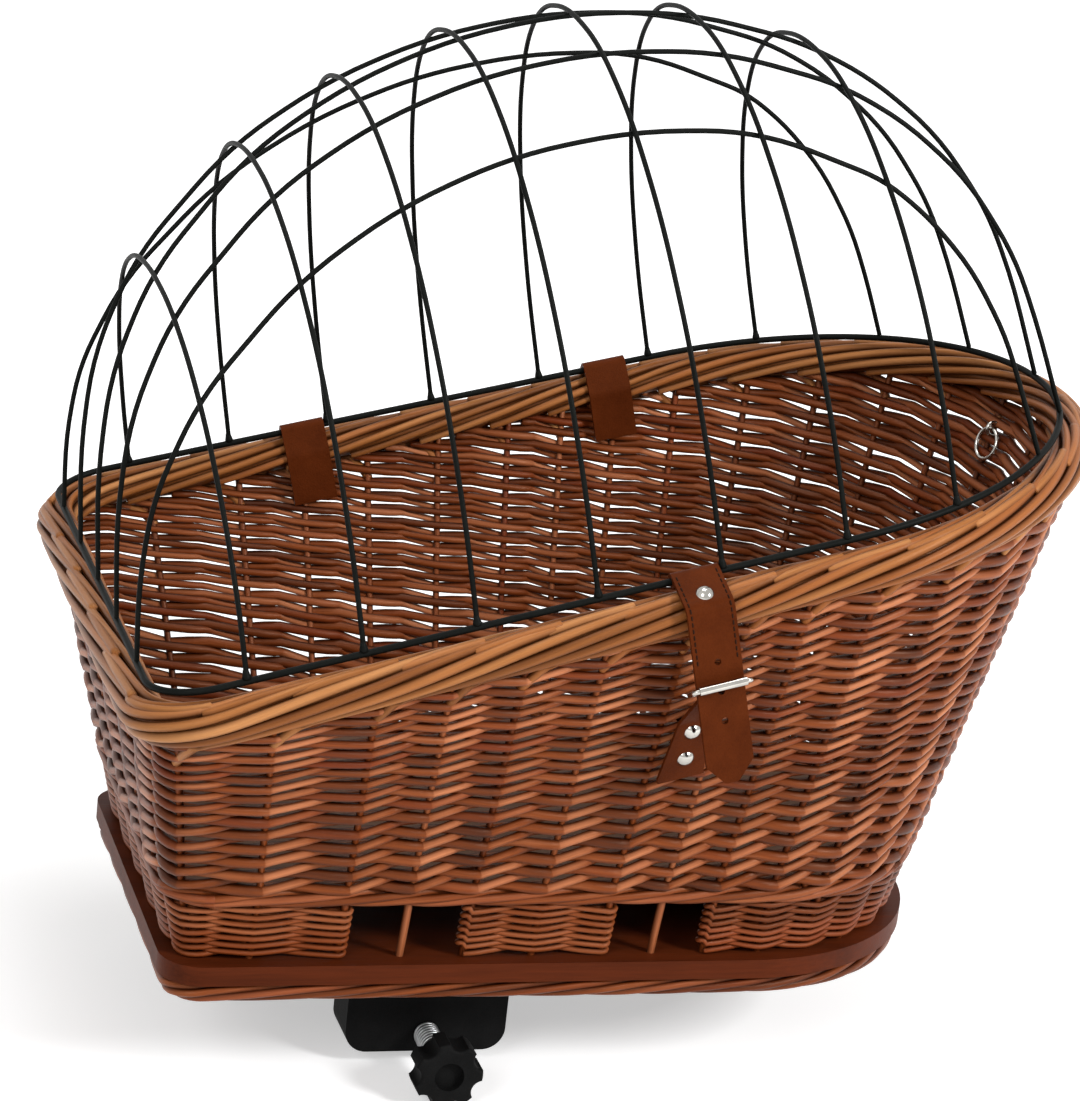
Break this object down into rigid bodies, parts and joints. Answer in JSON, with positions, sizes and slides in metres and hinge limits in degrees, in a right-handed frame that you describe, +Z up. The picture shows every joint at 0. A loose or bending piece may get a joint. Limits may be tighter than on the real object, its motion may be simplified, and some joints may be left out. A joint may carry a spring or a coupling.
{
  "type": "bicycle dog basket",
  "caption": "Woven willow dog basket for a bicycle carrier, with a hinged wire dome, a leather strap with a roller buckle and a screw clamp under its base board.",
  "frame": {"origin": "underside of the carrier rail, midway along the base board", "axes": "+X towards the tall round end, -Y towards the side with the strap and the knob, +Z up"},
  "size_m": [0.6107, 0.4454, 0.6393],
  "materials": {
    "willow_wall": "satin",
    "willow_rim": "satin",
    "willow_foot": "satin",
    "board_wood": "satin",
    "floor_wood": "matte",
    "wire_black": "gloss",
    "leather_brown": "satin",
    "nickel": "polished",
    "zinc_steel": "satin",
    "rail_black": "satin",
    "clamp_plastic": "matte",
    "knob_plastic": "matte"
  },
  "bodies": {
    "basket": {"bare_stakes": "willow_wall", "base_board": "board_wood", "body_screws": "zinc_steel", "buckle_tab": "leather_brown", "carrier_rail": "rail_black", "clamp_body": "clamp_plastic", "clamp_nut": "zinc_steel", "far_jaw": "clamp_plastic", "floor_battens": "floor_wood", "foot_border": "willow_foot", "hinge_loop_1": "leather_brown", "hinge_loop_2": "leather_brown", "inner_floor": "floor_wood", "jaw_screws": "zinc_steel", "leash_staple": "nickel", "lower_weave_far": "willow_wall", "lower_weave_left": "willow_wall", "lower_weave_near": "willow_wall", "lower_weave_right": "willow_wall", "rail_nuts": "zinc_steel", "rail_screws": "zinc_steel", "rim_border": "willow_rim", "tab_rivets": "nickel", "upper_weave": "willow_wall", "waling_band": "willow_wall"},
    "dome": {"ring_wire": "wire_black", "cross_hoop_1": "wire_black", "cross_hoop_2": "wire_black", "cross_hoop_3": "wire_black", "cross_hoop_4": "wire_black", "cross_hoop_5": "wire_black", "cross_hoop_6": "wire_black", "cross_hoop_7": "wire_black", "long_hoop_1": "wire_black", "long_hoop_2": "wire_black", "long_hoop_3": "wire_black", "long_hoop_4": "wire_black", "long_hoop_5": "wire_black"},
    "strap": {"front_strap": "leather_brown", "strap_rivet": "nickel"},
    "buckle": {"buckle_frame": "nickel"},
    "roller": {"buckle_roller": "nickel"},
    "prong": {"buckle_prong": "nickel"},
    "leash": {"leash_ring": "nickel"},
    "jaw": {"near_jaw": "clamp_plastic", "clamp_spring": "zinc_steel", "spring_washer": "zinc_steel"},
    "knob": {"star_knob": "knob_plastic", "clamp_screw": "zinc_steel"}
  },
  "joints": [
    {"name": "dome_hinge", "type": "hinge", "parent": "basket", "child": "dome", "pos_m": [-0.2475, 0.20047, 0.2233], "axis": [-0.9695, 0.0201, -0.2442], "range_deg": [0, 95]},
    {"name": "strap_swing", "type": "hinge", "parent": "dome", "child": "strap", "pos_m": [0.02132, -0.1949, 0.29102], "axis": [-0.9695, -0.0201, -0.2442], "range_deg": [-70, 0]},
    {"name": "buckle_tilt", "type": "hinge", "parent": "basket", "child": "buckle", "pos_m": [0.0368, -0.2122, 0.23098], "axis": [-0.9695, -0.0201, -0.2442], "range_deg": [-12, 6]},
    {"name": "roller_spin", "type": "hinge", "parent": "buckle", "child": "roller", "pos_m": [0.03557, -0.2242, 0.23686], "axis": [-0.9695, -0.0201, -0.2442], "continuous": true},
    {"name": "prong_swing", "type": "hinge", "parent": "buckle", "child": "prong", "pos_m": [0.0368, -0.2122, 0.23098], "axis": [-0.9695, -0.0201, -0.2442], "range_deg": [0, 60]},
    {"name": "leash_swing", "type": "hinge", "parent": "basket", "child": "leash", "pos_m": [0.29211, 0.03808, 0.31584], "axis": [-0.2072, 0.9783, 0.0028], "range_deg": [0, 90]},
    {"name": "jaw_slide", "type": "slide", "parent": "basket", "child": "jaw", "axis": [0, -1, 0], "range_m": [0, 0.016]},
    {"name": "knob_spin", "type": "hinge", "parent": "jaw", "child": "knob", "pos_m": [-0.072, -0.08, -0.042], "axis": [0, -1, 0], "range_deg": [0, 2880]}
  ],
  "couplings": [
    {"joint": "strap_swing", "follows": "dome_hinge", "ratio": -0.7},
    {"joint": "knob_spin", "follows": "jaw_slide", "rad_per_m": 3141.6}
  ]
}
